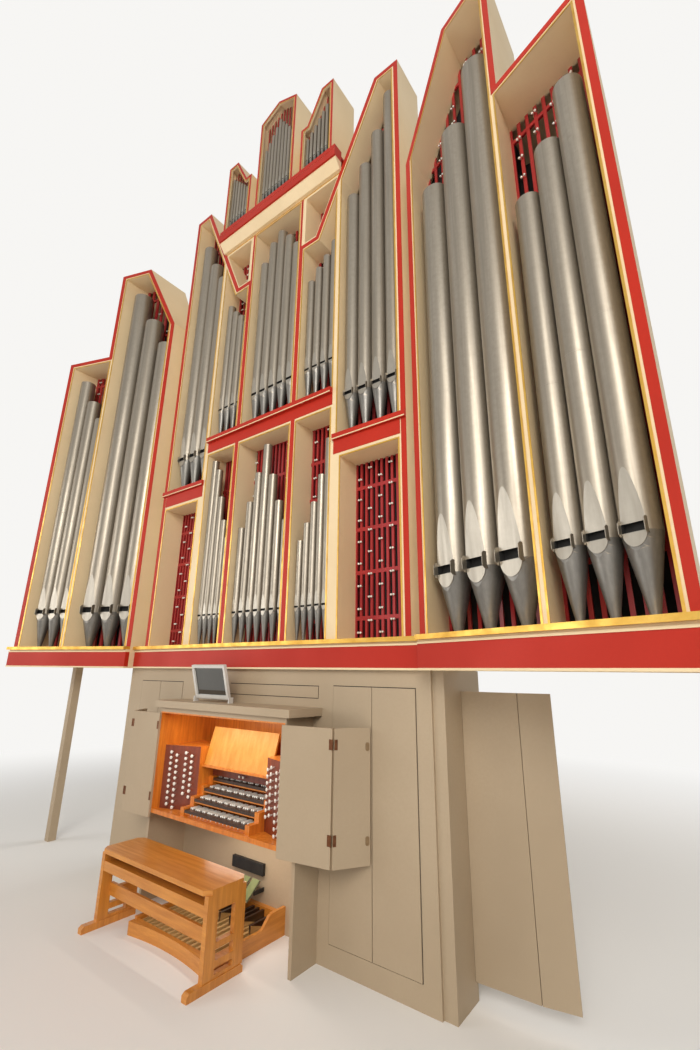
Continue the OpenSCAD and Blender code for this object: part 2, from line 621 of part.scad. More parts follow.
base_case();
base_panels();
cornice();
cornice_red();
cornice_gold();
main_case();
side_case_left();
side_case_right();
tower_case_left();
tower_case_right();
red_bands();
gold_lines();
main_ledges();
main_grilles();
rear_case();
crown_ledge();
crown_case();
crown_grilles();
pedal_case_left();
pedal_case_right();
pedal_grilles();
pedal_supports();
pedal_pipes_left();
pedal_pipes_right();
tower_pipes_left();
tower_pipes_right();
side_pipes();
centre_pipes();
lower_pipes();
crown_pipes();
console_case();
console_lining();
console_canopy();
console_doors();
stop_jambs();
stop_knobs();
music_desk();
key_frames();
keys();
swell_frame();
swell_pedal_left();
swell_pedal_right();
mirror_bracket();
player_mirror();
bench();
pedalboard();
pedal_keys();
passage_door();
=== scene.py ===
# %% [markdown]
# # A pipe organ, dressed from its solid model
# The solid model already has every board, pipe, key and knob in its true place. This file gives
# them finishes: satin paint, gilding, dull tin, varnished wood. It adds the small things that a
# solid model leaves out, such as seams, hinges and the pegs on the grilles. It starts by loading
# the model as a fixed frame in metres.

# %% Load the frame
import bpy, bmesh, json, math
from mathutils import Matrix, Vector


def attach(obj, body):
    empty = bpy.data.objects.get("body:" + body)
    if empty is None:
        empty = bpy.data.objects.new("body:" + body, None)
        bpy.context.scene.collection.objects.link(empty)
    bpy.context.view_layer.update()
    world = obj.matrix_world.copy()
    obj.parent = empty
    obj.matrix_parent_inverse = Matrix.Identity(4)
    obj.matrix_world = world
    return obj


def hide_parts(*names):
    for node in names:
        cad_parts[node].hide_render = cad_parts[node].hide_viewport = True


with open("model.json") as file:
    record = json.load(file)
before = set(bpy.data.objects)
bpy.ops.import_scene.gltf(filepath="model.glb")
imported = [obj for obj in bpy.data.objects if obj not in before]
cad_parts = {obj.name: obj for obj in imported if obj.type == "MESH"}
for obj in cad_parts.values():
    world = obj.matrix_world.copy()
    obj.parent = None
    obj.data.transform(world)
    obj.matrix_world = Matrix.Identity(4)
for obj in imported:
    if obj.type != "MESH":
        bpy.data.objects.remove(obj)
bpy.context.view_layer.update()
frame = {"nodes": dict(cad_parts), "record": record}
nodes = frame["nodes"]

# %% [markdown]
# The camera stands low at the right of the organ and looks up and to the left with a wide lens.
# A wide lens close to a tall object makes its uprights converge, which is why the angle of the
# lens has to be right, and not only the direction. The three turns are to the left, upwards, and
# a little about the line of sight.

# %% Camera
EYE, LENS = (3.6014, -3.2098, 1.9712), 16.69
PAN, LIFT, ROLL = 0.6463, 0.2926, -0.0111

cam = bpy.data.objects.new("view_camera", bpy.data.cameras.new("view_camera"))
bpy.context.scene.collection.objects.link(cam)
cam.data.sensor_fit, cam.data.sensor_height = "VERTICAL", 36.0
cam.data.lens, cam.data.clip_end = LENS, 200.0
turn = (Matrix.Rotation(PAN, 3, "Z") @ Matrix.Rotation(LIFT, 3, "X")
        @ Matrix.Rotation(ROLL, 3, "Y"))
right, ahead, up = turn.col[0], turn.col[1], turn.col[2]
axes = Matrix((right, up, -ahead)).transposed().to_4x4()
cam.matrix_world = Matrix.Translation(EYE) @ axes
bpy.context.scene.camera = cam
bpy.context.scene.view_settings.view_transform = "Standard"
print("camera at", EYE, "lens", LENS)

# %% [markdown]
# Four big soft lamps light the organ. The strongest stands in front at the right, from where it
# also reaches the walls of the recesses. A weaker one at the left and a low one keep the shadows
# open, and one stands behind, so that the back can be judged too. A lamp looks along its own -Z,
# so it is turned until that axis points at its aim.

# %% Big lamps
def lamp(name, place, aim, size, power, colour):
    """A square soft lamp that points from place at aim."""
    data = bpy.data.lights.new(name, "AREA")
    data.shape, data.size, data.energy, data.color = "SQUARE", size, power, colour
    made = bpy.data.objects.new(name, data)
    way = Vector(aim) - Vector(place)
    facing = way.to_track_quat("-Z", "Y").to_matrix().to_4x4()
    made.matrix_world = Matrix.Translation(place) @ facing
    bpy.context.scene.collection.objects.link(made)
    print("lamp", name, power, "W")

lamp("high_front", (6.0, -8.4, 7.2), (0, 0, 4.5), 5.0, 580, (1.0, 0.97, 0.92))
lamp("left_fill", (-8.0, -7.0, 4.0), (0, 0, 4.0), 5.0, 240, (1.0, 0.98, 0.95))
lamp("low_front", (2.5, -8.0, 4.2), (0, 0, 1.2), 4.5, 130, (1.0, 0.96, 0.9))
lamp("behind", (1.0, 9.0, 6.5), (0, 0, 4.0), 6.0, 330, (1.0, 0.98, 0.95))

# %% [markdown]
# Two narrow lamps reach into the console and the knee space, where an organ has its own light.
# They are weak, so that the wood keeps its own colour.

# %% Narrow lamps
def small_lamp(name, place, aim, wide, deep, power):
    """A narrow lamp for a place that the big lamps don't reach."""
    lamp(name, place, aim, wide, power, (1.0, 0.92, 0.8))
    data = bpy.data.lights[name]
    data.shape, data.size_y = "RECTANGLE", deep

small_lamp("inside_console", (0.0, -0.24, 1.55), (0.0, 0.15, 1.0), 1.2, 0.06, 3.2)
small_lamp("over_pedals", (0.2, -0.12, 0.70), (0.2, -0.02, 0.1), 0.8, 0.06, 2.5)

# %% [markdown]
# The world gives a little even light. The camera sees a white backdrop in its place, and glossy
# reflections see a little more than half of that backdrop. Other light rays don't see it.

# %% World
BACKDROP = (0.93, 0.92, 0.9, 1)

world = bpy.data.worlds.new("studio")
bpy.context.scene.world = world
world.use_nodes = True
wt = world.node_tree
wt.nodes.clear()

def background(tree, colour, strength):
    """A Background shader of one colour and strength."""
    n = tree.nodes.new("ShaderNodeBackground")
    n.inputs["Color"].default_value, n.inputs["Strength"].default_value = colour, strength
    return n.outputs[0]

path = wt.nodes.new("ShaderNodeLightPath")
glossy = wt.nodes.new("ShaderNodeMath")
glossy.operation, glossy.inputs[1].default_value = "MULTIPLY", 0.55
seen = wt.nodes.new("ShaderNodeMath")
seen.operation = "MAXIMUM"
mix = wt.nodes.new("ShaderNodeMixShader")
out = wt.nodes.new("ShaderNodeOutputWorld")
wt.links.new(path.outputs["Is Glossy Ray"], glossy.inputs[0])
wt.links.new(path.outputs["Is Camera Ray"], seen.inputs[0])
wt.links.new(glossy.outputs[0], seen.inputs[1])
wt.links.new(seen.outputs[0], mix.inputs[0])
wt.links.new(background(wt, (1, 0.98, 0.95, 1), 0.35), mix.inputs[1])
wt.links.new(background(wt, BACKDROP, 1.0), mix.inputs[2])
wt.links.new(mix.outputs[0], out.inputs[0])
print("world nodes", len(wt.nodes))

# %% [markdown]
# The floor is one flat sheet, far wider than the organ, with a paint of its own.

# %% Floor
bm = bmesh.new()
bmesh.ops.create_grid(bm, x_segments=1, y_segments=1, size=14.0)
floor_mesh = bpy.data.meshes.new("studio_floor")
bm.to_mesh(floor_mesh)
bm.free()
studio_floor = bpy.data.objects.new("studio_floor", floor_mesh)
bpy.context.scene.collection.objects.link(studio_floor)
floor_paint = bpy.data.materials.new("floor_paint")
floor_paint.use_nodes = True
floor_mesh.materials.append(floor_paint)
print("floor corners", len(floor_mesh.vertices))

# %% [markdown]
# The paint fades to the white of the backdrop between 4 and 11 metres from the middle, and only
# for the camera. So the floor has no visible edge and still takes the organ's shadow. It is part
# of the stage and not of the organ.

# %% Fade of the floor
ft = floor_paint.node_tree
paint = ft.nodes["Principled BSDF"]
paint.inputs["Base Color"].default_value = (0.88, 0.865, 0.84, 1)
paint.inputs["Roughness"].default_value = 0.85
middle = ft.nodes.new("ShaderNodeVectorMath")
middle.operation = "LENGTH"
ft.links.new(ft.nodes.new("ShaderNodeTexCoord").outputs["Object"], middle.inputs[0])
fade = ft.nodes.new("ShaderNodeMapRange")
fade.interpolation_type = "SMOOTHSTEP"
fade.inputs["From Min"].default_value, fade.inputs["From Max"].default_value = 4.0, 11.0
ft.links.new(middle.outputs["Value"], fade.inputs["Value"])
for_camera = ft.nodes.new("ShaderNodeMath")
for_camera.operation = "MULTIPLY"
ft.links.new(fade.outputs["Result"], for_camera.inputs[0])
ft.links.new(ft.nodes.new("ShaderNodeLightPath").outputs["Is Camera Ray"], for_camera.inputs[1])
glow = ft.nodes.new("ShaderNodeEmission")
glow.inputs["Color"].default_value = BACKDROP
both = ft.nodes.new("ShaderNodeMixShader")
ft.links.new(for_camera.outputs[0], both.inputs[0])
ft.links.new(paint.outputs["BSDF"], both.inputs[1])
ft.links.new(glow.outputs["Emission"], both.inputs[2])
ft.links.new(both.outputs["Shader"], ft.nodes["Material Output"].inputs["Surface"])
print("floor paint nodes", len(ft.nodes))

# %% [markdown]
# Finishes that come back in several materials are made once as node groups. Five helpers place
# the nodes that the groups need: the group itself, a noise, a stretch of values, a blend of two
# colours, and coordinates that are squeezed along each axis.

# %% Helpers for node groups
def group(name, inputs, outputs):
    """An empty shader group with the named sockets, its input and output nodes."""
    tree = bpy.data.node_groups.new(name, "ShaderNodeTree")
    for label, kind, value in inputs:
        socket = tree.interface.new_socket(label, in_out="INPUT", socket_type=kind)
        socket.default_value = value
    for label, kind in outputs:
        tree.interface.new_socket(label, in_out="OUTPUT", socket_type=kind)
    return tree, tree.nodes.new("NodeGroupInput"), tree.nodes.new("NodeGroupOutput")

def noise(tree, vector, scale, detail, rough):
    """A noise texture of that scale on a vector socket."""
    n = tree.nodes.new("ShaderNodeTexNoise")
    n.inputs["Scale"].default_value, n.inputs["Detail"].default_value = scale, detail
    n.inputs["Roughness"].default_value = rough
    tree.links.new(vector, n.inputs["Vector"])
    return n.outputs["Fac"]

def ramp(tree, value, low, high, a=0.0, b=1.0):
    """Stretches a value so that low becomes a and high becomes b."""
    n = tree.nodes.new("ShaderNodeMapRange")
    for label, number in (("From Min", low), ("From Max", high), ("To Min", a), ("To Max", b)):
        n.inputs[label].default_value = number
    tree.links.new(value, n.inputs["Value"])
    return n.outputs["Result"]

def blend(tree, factor, first, second):
    """Mixes two colour sockets by a factor socket."""
    n = tree.nodes.new("ShaderNodeMix")
    n.data_type = "RGBA"
    for place, socket in ((0, factor), (6, first), (7, second)):
        tree.links.new(socket, n.inputs[place])
    return n.outputs[2]

def squeezed(tree):
    """Object coordinates times a vector that can be set or linked on the second input."""
    n = tree.nodes.new("ShaderNodeVectorMath")
    n.operation = "MULTIPLY"
    tree.links.new(tree.nodes.new("ShaderNodeTexCoord").outputs["Object"], n.inputs[0])
    return n

TONES = [("Light", "NodeSocketColor", (1, 1, 1, 1)), ("Dark", "NodeSocketColor", (0, 0, 0, 1))]
print("every group takes", [label for label, kind, value in TONES])

# %% [markdown]
# The first group is a mottle: a colour between two tones that drifts slowly and has fine grain
# in it, as hand-painted or worn surfaces have. It reads object coordinates, which are metres
# here, so a pattern has its real size on every piece.

# %% Mottle
mottle, gi, go = group("mottle", TONES + [("Patch", "NodeSocketFloat", 1.5),
                                          ("Grain", "NodeSocketFloat", 60.0)],
                       [("Colour", "NodeSocketColor"), ("Patches", "NodeSocketFloat")])
place = mottle.nodes.new("ShaderNodeTexCoord").outputs["Object"]
slow, fine = mottle.nodes.new("ShaderNodeTexNoise"), mottle.nodes.new("ShaderNodeTexNoise")
for n, label in ((slow, "Patch"), (fine, "Grain")):
    n.inputs["Detail"].default_value = 4.0
    mottle.links.new(place, n.inputs["Vector"])
    mottle.links.new(gi.outputs[label], n.inputs["Scale"])
wash = ramp(mottle, slow.outputs["Fac"], 0.3, 0.7)
speck = ramp(mottle, fine.outputs["Fac"], 0.25, 0.75, 0.0, 0.35)
tone = blend(mottle, wash, gi.outputs["Light"], gi.outputs["Dark"])
tone = blend(mottle, speck, tone, gi.outputs["Dark"])
mottle.links.new(tone, go.inputs["Colour"])
mottle.links.new(wash, go.inputs["Patches"])
print("mottle nodes", len(mottle.nodes))

# %% [markdown]
# Wood grain is a noise stretched along the boards. The group takes the squeeze along each axis
# as a vector, so that one group serves upright, level and end boards.

# %% Wood grain
timber, gi, go = group("timber", TONES + [("Squeeze", "NodeSocketVector", (1, 12, 12))],
                       [("Colour", "NodeSocketColor"), ("Grain", "NodeSocketFloat")])
along_grain = squeezed(timber)
timber.links.new(gi.outputs["Squeeze"], along_grain.inputs[1])
body = ramp(timber, noise(timber, along_grain.outputs[0], 2.2, 5.0, 0.6), 0.32, 0.68)
pores = ramp(timber, noise(timber, along_grain.outputs[0], 18.0, 3.0, 0.7), 0.45, 0.75, 0.0, 0.55)
tone = blend(timber, body, gi.outputs["Light"], gi.outputs["Dark"])
tone = blend(timber, pores, tone, gi.outputs["Dark"])
timber.links.new(tone, go.inputs["Colour"])
timber.links.new(body, go.inputs["Grain"])
print("timber nodes", len(timber.nodes))

# %% [markdown]
# Pipe metal is a dull alloy of tin and lead. It is rolled in sheets, so its tone changes in soft
# upright streaks, with faint spots between them.

# %% Tin sheet
tin_sheet, gi, go = group("tin_sheet", TONES,
                          [("Colour", "NodeSocketColor"), ("Streaks", "NodeSocketFloat")])
upright = squeezed(tin_sheet)
upright.inputs[1].default_value = (22, 22, 0.7)
place = tin_sheet.nodes.new("ShaderNodeTexCoord").outputs["Object"]
streaks = ramp(tin_sheet, noise(tin_sheet, upright.outputs[0], 1.0, 4.0, 0.6), 0.3, 0.7)
spots = ramp(tin_sheet, noise(tin_sheet, place, 30.0, 4.0, 0.6), 0.4, 0.7, 0.0, 0.4)
tone = blend(tin_sheet, streaks, gi.outputs["Light"], gi.outputs["Dark"])
tone = blend(tin_sheet, spots, tone, gi.outputs["Dark"])
tin_sheet.links.new(tone, go.inputs["Colour"])
tin_sheet.links.new(streaks, go.inputs["Streaks"])
print("tin_sheet nodes", len(tin_sheet.nodes))

# %% [markdown]
# A material is the Principled shader with one of these groups behind its colour. The group's
# second output, a value, drives the roughness and a very small bump. One helper makes them all.
# It takes a light and a dark tone, and the two ends of the roughness.

# %% Material helper
def finish(name, pattern, light, dark, rough, metal=0.0, coat=0.0, bump=0.05, **settings):
    """A material whose colour, roughness and bump come from one of the groups above."""
    m = bpy.data.materials.new(name)
    m.use_nodes = True
    t = m.node_tree
    shader = t.nodes["Principled BSDF"]
    g = t.nodes.new("ShaderNodeGroup")
    g.node_tree = pattern
    g.inputs["Light"].default_value, g.inputs["Dark"].default_value = (*light, 1.0), (*dark, 1.0)
    for label, value in settings.items():
        g.inputs[label].default_value = value
    t.links.new(g.outputs["Colour"], shader.inputs["Base Color"])
    t.links.new(ramp(t, g.outputs[1], 0.0, 1.0, *rough), shader.inputs["Roughness"])
    shader.inputs["Metallic"].default_value = metal
    shader.inputs["Coat Weight"].default_value = coat
    shader.inputs["Coat Roughness"].default_value = 0.25
    b = t.nodes.new("ShaderNodeBump")
    b.inputs["Strength"].default_value, b.inputs["Distance"].default_value = bump, 0.002
    t.links.new(g.outputs[1], b.inputs["Height"])
    t.links.new(b.outputs["Normal"], shader.inputs["Normal"])
    return m

print("patterns", [tree.name for tree in bpy.data.node_groups])

# %% [markdown]
# The organ is painted in satin cream, a darker buff and bright red. The red has a lower specular
# level, because its reflections would turn it pink. Gilding is a metal, so its colour is the
# colour of its reflections.

# %% Paint and gilding
cream_paint = finish("cream_paint", mottle, (0.88, 0.70, 0.44), (0.78, 0.60, 0.36), (0.42, 0.55),
                     Patch=0.9, Grain=45.0)
case_paint = finish("case_paint", mottle, (0.48, 0.375, 0.255), (0.40, 0.305, 0.20), (0.5, 0.62),
                    Patch=0.7, Grain=55.0)
red_paint = finish("red_paint", mottle, (0.52, 0.024, 0.008), (0.42, 0.018, 0.006), (0.42, 0.55),
                   Patch=1.2, Grain=60.0)
red_paint.node_tree.nodes["Principled BSDF"].inputs["Specular IOR Level"].default_value = 0.3
grille_paint = finish("grille_paint", mottle, (0.42, 0.026, 0.026), (0.31, 0.018, 0.020),
                      (0.38, 0.5), Patch=2.0, Grain=80.0)
gold_leaf = finish("gold_leaf", mottle, (0.82, 0.52, 0.12), (0.62, 0.35, 0.06), (0.28, 0.5),
                   metal=0.85, Patch=9.0, Grain=120.0)
print("materials", len(bpy.data.materials))

# %% [markdown]
# Small parts of the console are black or olive metal, grey lacquer on the mirror's frame, and a
# pale polished material on the knobs. An almost black painted shade stands for the shade inside
# the mouths of the pipes, behind the grilles and in the joints of the base.

# %% Metals, lacquer, knobs and painted shade
black_metal = finish("black_metal", mottle, (0.02, 0.02, 0.02), (0.01, 0.01, 0.01), (0.4, 0.6),
                     Patch=8.0, Grain=200.0)
shoe_metal = finish("shoe_metal", mottle, (0.2, 0.2, 0.12), (0.12, 0.12, 0.07), (0.45, 0.65),
                    Patch=12.0, Grain=150.0)
mirror_frame = finish("mirror_frame", mottle, (0.72, 0.7, 0.66), (0.6, 0.58, 0.54), (0.35, 0.5),
                      Patch=6.0, Grain=90.0)
knob_white = finish("knob_white", mottle, (0.86, 0.84, 0.78), (0.76, 0.73, 0.66), (0.18, 0.3),
                    coat=0.4, Patch=20.0, Grain=300.0)
# Painted shade: near black, for the shade in the mouths, behind the grilles and in the joints.
painted_shade = finish("painted_shade", mottle, (0.02, 0.018, 0.016), (0.012, 0.011, 0.01), (0.7, 0.85),
                    Patch=8.0, Grain=90.0)
print("materials", len(bpy.data.materials))

# %% [markdown]
# Every wood is the same grain with its own colour and direction. The axis with the small number
# is the one that the grain runs along: upright in the console, across in the bench, and from
# front to back in the pedals.

# %% Woods
UPRIGHT, CROSSWISE, FORE_AND_AFT = (14, 14, 1.2), (1.1, 14, 14), (16, 1.2, 16)
BENCH_TONES = (0.70, 0.29, 0.045), (0.50, 0.175, 0.022)

console_wood = finish("console_wood", timber, (0.80, 0.27, 0.030), (0.56, 0.15, 0.014),
                      (0.28, 0.42), coat=0.3, Squeeze=UPRIGHT)
red_wood = finish("red_wood", timber, (0.24, 0.048, 0.018), (0.15, 0.028, 0.012), (0.3, 0.45),
                  coat=0.3, Squeeze=UPRIGHT)
desk_wood = finish("desk_wood", timber, (0.66, 0.30, 0.040), (0.52, 0.21, 0.022), (0.45, 0.58),
                   Squeeze=(9, 9, 1.0))
pedal_wood = finish("pedal_wood", timber, (0.72, 0.5, 0.22), (0.5, 0.31, 0.11), (0.35, 0.5),
                    coat=0.2, Squeeze=FORE_AND_AFT)
dark_wood = finish("dark_wood", timber, (0.06, 0.028, 0.014), (0.025, 0.012, 0.008), (0.3, 0.45),
                   coat=0.2, Squeeze=FORE_AND_AFT)
bench_wood = finish("bench_wood", timber, *BENCH_TONES, (0.3, 0.45), coat=0.3, Squeeze=CROSSWISE)
bench_end_wood = finish("bench_end_wood", timber, *BENCH_TONES, (0.3, 0.45), coat=0.3,
                        Squeeze=(14, 14, 1.1))
cheek_wood = finish("cheek_wood", timber, *BENCH_TONES, (0.3, 0.45), coat=0.3,
                    Squeeze=(14, 1.1, 14))
print("materials", len(bpy.data.materials))

# %% [markdown]
# Pipes have one metal in three tones: the body, the brighter burnished lips and the darker feet.

# %% Pipe metals
pipe_metal = finish("pipe_metal", tin_sheet, (0.40, 0.352, 0.285), (0.275, 0.240, 0.192),
                    (0.3, 0.46), metal=0.8, bump=0.03)
lip_metal = finish("lip_metal", tin_sheet, (0.46, 0.42, 0.355), (0.37, 0.335, 0.28),
                   (0.32, 0.46), metal=0.8, bump=0.02)
foot_metal = finish("foot_metal", tin_sheet, (0.27, 0.255, 0.23), (0.17, 0.16, 0.145),
                    (0.34, 0.48), metal=0.75, bump=0.03)
print("materials", len(bpy.data.materials))

# %% [markdown]
# Each solid takes the finish that the record names for it.

# %% Give each solid its finish
finishes = {"cream_paint": cream_paint, "case_paint": case_paint, "red_paint": red_paint,
            "grille_paint": grille_paint, "gold_leaf": gold_leaf, "pipe_metal": pipe_metal,
            "console_wood": console_wood, "bench_wood": bench_wood, "knob_white": knob_white,
            "pedal_wood": pedal_wood, "black_metal": black_metal, "shoe_metal": shoe_metal,
            "mirror_frame": mirror_frame, "key_black": dark_wood}
for part in frame["record"]["subparts"]:
    mesh = nodes[part["node"]].data
    mesh.materials.clear()
    mesh.materials.append(finishes[part["material_slot"]])

# %% [markdown]
# Some solids carry two finishes. The mesh stays as it is: each face is only told which finish it
# takes, by the way it points and where it lies.

# %% Second finishes on single faces
def refinish(node, material, chosen):
    """Gives one more finish to the faces of a solid for which chosen(centre, normal) is true."""
    mesh = nodes[node].data
    mesh.materials.append(material)
    slot, count = len(mesh.materials) - 1, 0
    for face in mesh.polygons:
        if chosen(face.center, face.normal):
            face.material_index = slot
            count += 1
    print(node, material.name, count, "faces")

# %% [markdown]
# The lips need the place and the width of every pipe, because a wide pipe has a taller mouth
# than a slim one. All sizes of a mouth are parts of the pipe's width, as a pipe maker cuts them.
# The pipes of a pedal tower stand behind its turned front, so their places follow from steps
# along that front.

# %% Where the large pipes stand
TURN = math.radians(19.67)
TURN_COS, TURN_SIN = math.cos(TURN), math.sin(TURN)
TOWER_X, TOWER_Y = 1.891, -0.107
MOUTH, LOWER_LIP, LIP_DEPTH = 0.24, 0.5, 0.12
PEDAL_MOUTH, TOWER_MOUTH, FIELD_MOUTH, LOWER_MOUTH = 2.64, 4.53, 5.01, 2.522

def pedal_pipe(side, along, wide):
    """A pipe of a pedal tower: x, y, mouth height and width."""
    deep = 0.040 + wide / 2
    x = TOWER_X + TURN_COS * along + TURN_SIN * deep
    y = TOWER_Y - TURN_SIN * along + TURN_COS * deep
    return side * x, y, PEDAL_MOUTH, wide

pedal_places = [(0.213, 0.250), (0.490, 0.262), (0.770, 0.268),
                (1.135, 0.180), (1.325, 0.186), (1.515, 0.192)]
ranks = {
    "pedal_pipes_left": [pedal_pipe(-1, *spot) for spot in pedal_places],
    "pedal_pipes_right": [pedal_pipe(1, *spot) for spot in pedal_places],
    "tower_pipes_left": [(x, 0.138, TOWER_MOUTH, 0.190) for x in (-1.563, -1.353, -1.143)],
    "tower_pipes_right": [(x, 0.120, TOWER_MOUTH, 0.156) for x in (1.100, 1.262, 1.424, 1.588)],
}
print("large pipes", sum(len(pipes) for pipes in ranks.values()))

# %% [markdown]
# The smaller ranks stand in straight rows. Those at the sides are mirror images of each other.

# %% Where the small pipes stand
def both_sides(pipes):
    """The pipes of one side and their mirror images."""
    return pipes + [(-x, y, z, wide) for x, y, z, wide in pipes]

lower_places = [(0.54, 0.070), (0.62, 0.072), (0.702, 0.075), (0.786, 0.078), (0.87, 0.080)]
ranks["side_pipes"] = both_sides([(x, 0.092, FIELD_MOUTH, 0.098) for x in (0.54, 0.65, 0.76, 0.87)])
ranks["centre_pipes"] = [(0.138 * k, 0.106, FIELD_MOUTH, 0.128) for k in range(-2, 3)]
ranks["lower_pipes"] = both_sides([(x, 0.074, LOWER_MOUTH, wide) for x, wide in lower_places])
ranks["lower_pipes"] += [(0.108 * k, 0.084, LOWER_MOUTH, 0.096 - 0.004 * abs(k))
                         for k in range(-3, 4)]
ranks["crown_pipes"] = [(0.06 * k, -0.06, 7.88, 0.050) for k in range(-4, 5)]
ranks["crown_pipes"] += both_sides([(0.518 + 0.06 * k, -0.06, 7.86, 0.046) for k in range(7)])
print("pipes", {rank: len(pipes) for rank, pipes in ranks.items()})

# %% [markdown]
# Each face of a rank belongs to the pipe whose middle is nearest. Its height above that pipe's
# mouth, and the way it points, then tell whether it is foot, lip or mouth. The faces of the mouth
# take painted shade, for the dark inside of the pipe. On a slim pipe the flat below the mouth is
# the lower lip. A pipe wider than LARGE gets a lip of its own further below, so there the flat
# stays part of the foot. EDGE is a hair's breadth, which keeps the upper edge of the mouth out of
# the lip.

# %% Feet, lips and mouths
LARGE, EDGE = 0.15, 0.0005

def above_mouth(c, pipes):
    """How far a point lies above the mouth of its own pipe, and that pipe's width."""
    own = min(pipes, key=lambda pipe: (pipe[0] - c.x) ** 2 + (pipe[1] - c.y) ** 2)
    return c.z - own[2], own[3]

def turn_of(rank):
    """The turn of a rank about the upright axis: only the pedal towers are turned."""
    return {"pedal_pipes_left": TURN, "pedal_pipes_right": -TURN}.get(rank, 0.0)

def is_flat(n, front):
    """Whether a normal points to the front, as those of the flattened lips do."""
    level = Vector((n.x, n.y, 0))
    return level.length > 0.9 and level.normalized().dot(front) > 0.9995

for rank, pipes in ranks.items():
    front = Vector((math.sin(turn_of(rank)), -math.cos(turn_of(rank)), 0))
    across = Vector((-front.y, front.x, 0))

    def foot(c, n):
        up, wide = above_mouth(c, pipes)
        return up < 0 and (-0.45 < n.z < -0.04 or (wide > LARGE and is_flat(n, front)))

    def lip(c, n):
        up, wide = above_mouth(c, pipes)
        upper = MOUTH * wide + EDGE < up < 0.6
        lower = wide < LARGE and -LOWER_LIP * wide < up < 0
        return is_flat(n, front) and (upper or lower)

    # Faces inside the mouth, which take painted shade for the dark inside of the pipe.
    def mouth(c, n):
        up, wide = above_mouth(c, pipes)
        inner = abs(n.z) > 0.98 or abs(n.dot(across)) > 0.999 or is_flat(n, front)
        return inner and -0.0015 < up < MOUTH * wide + EDGE

    refinish(rank, foot_metal, foot)
    refinish(rank, lip_metal, lip)
    refinish(rank, painted_shade, mouth)

# %% [markdown]
# Sharps are pale over dark naturals, and on the pedalboard it is the other way round. The faces
# of the stop jambs are a dark red wood, and the desk has a lighter board. The ends of the bench
# and the cheeks of the pedalboard are boards whose grain runs another way than the rest.

# %% Keys, jambs, desk and bench
MANUALS = [0.810 + 0.070 * i for i in range(4)]

refinish("keys", knob_white, lambda c, n: any(z + 0.0005 < c.z < z + 0.012 for z in MANUALS))
refinish("pedal_keys", dark_wood, lambda c, n: c.z > 0.0845)
refinish("stop_jambs", red_wood, lambda c, n: n.y < -0.9)
refinish("music_desk", red_wood, lambda c, n: n.y < -0.99 and c.z < 1.121)
refinish("music_desk", desk_wood, lambda c, n: c.z > 1.141)
refinish("bench", bench_end_wood, lambda c, n: abs(n.x) > 0.9)
refinish("pedalboard", cheek_wood, lambda c, n: abs(n.x) > 0.9)

# %% [markdown]
# The boards behind the grilles take painted shade for the dark inside of the case, so that the bars
# stand out, and so do the joints round the lift-off panels of the base, for the shade in the gaps.
# A thin cream line runs in the groove of the crown's ledge. All of these are faces that look
# forward from a known depth.

# %% Painted shade on backs and joints, and the crown's line
def faces_at(depth, slack):
    """A choice of the faces that look forward from one depth."""
    return lambda c, n: n.y < -0.9 and abs(c.y - depth) < slack

groove = faces_at(-0.125, 0.0006)
# Painted shade on the boards behind the grilles, for the dark inside of the case.
for case in ("main_case", "side_case_left", "side_case_right",
             "tower_case_left", "tower_case_right"):
    refinish(case, painted_shade, faces_at(0.43, 0.002))
for case in ("pedal_case_left", "pedal_case_right", "crown_case"):
    refinish(case, painted_shade, faces_at(0.28, 0.002))
# Painted shade in the joints round the lift-off panels, for the shade in the gaps.
refinish("base_case", painted_shade, faces_at(0.004, 0.0005))
refinish("crown_ledge", cream_paint, lambda c, n: groove(c, n) and 7.62 < c.z < 7.632)

# %% [markdown]
# Small parts are modelled once as a bmesh and then copied to all their places. The helpers below
# add such a copy to a growing bmesh, and turn the result into an object whose origin is the
# origin of the organ, as the solids are.

# %% Helpers for copied parts
def add_copy(target, part, place):
    """Adds one copy of a mesh to target, moved by the matrix place."""
    before = len(target.verts)
    target.from_mesh(part)
    target.verts.ensure_lookup_table()
    bmesh.ops.transform(target, matrix=place, verts=target.verts[before:])

def part_mesh(name, bm):
    """Closes a bmesh into a mesh with its faces pointing outwards."""
    bmesh.ops.remove_doubles(bm, verts=bm.verts, dist=1e-6)
    bmesh.ops.recalc_face_normals(bm, faces=bm.faces)
    mesh = bpy.data.meshes.new(name)
    bm.to_mesh(mesh)
    bm.free()
    return mesh

def piece(name, mesh, material, body="root", smooth=True):
    """An object of the organ that takes a finish and moves with a body."""
    made = bpy.data.objects.new(name, mesh)
    bpy.context.scene.collection.objects.link(made)
    mesh.materials.append(material)
    for face in mesh.polygons:
        face.use_smooth = smooth
    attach(made, body)
    mesh.calc_loop_triangles()
    print(name, len(mesh.loop_triangles), "triangles")
    return made

# %% [markdown]
# A matrix says where a copy goes. Many parts are made lying or standing about the upright axis,
# so one matrix lays that axis forward, towards the player.

# %% Places for copies
def moved(x, y, z):
    """A matrix that moves a part to a place."""
    return Matrix.Translation((x, y, z))

def at(x, y, z, turned=0.0):
    """A matrix that moves a part to a place and turns it about the upright axis."""
    return moved(x, y, z) @ Matrix.Rotation(turned, 4, "Z")

def pointing(way):
    """A matrix that lays a part's upright axis along a direction."""
    return Vector(way).to_track_quat("Z", "Y").to_matrix().to_4x4()

FORWARD = pointing((0, -1, 0))
print("forward is", tuple(round(v, 3) for v in FORWARD @ Vector((0, 0, 1))))

# %% [markdown]
# Two shapes come back all over the organ. Knobs, pegs and barrels are turned on a lathe: a profile
# is spun about an axis. Flaps, ears and pads are small plates: a cube stretched to its real size
# first, and only then bevelled, so that the bevel is the same width on every edge.

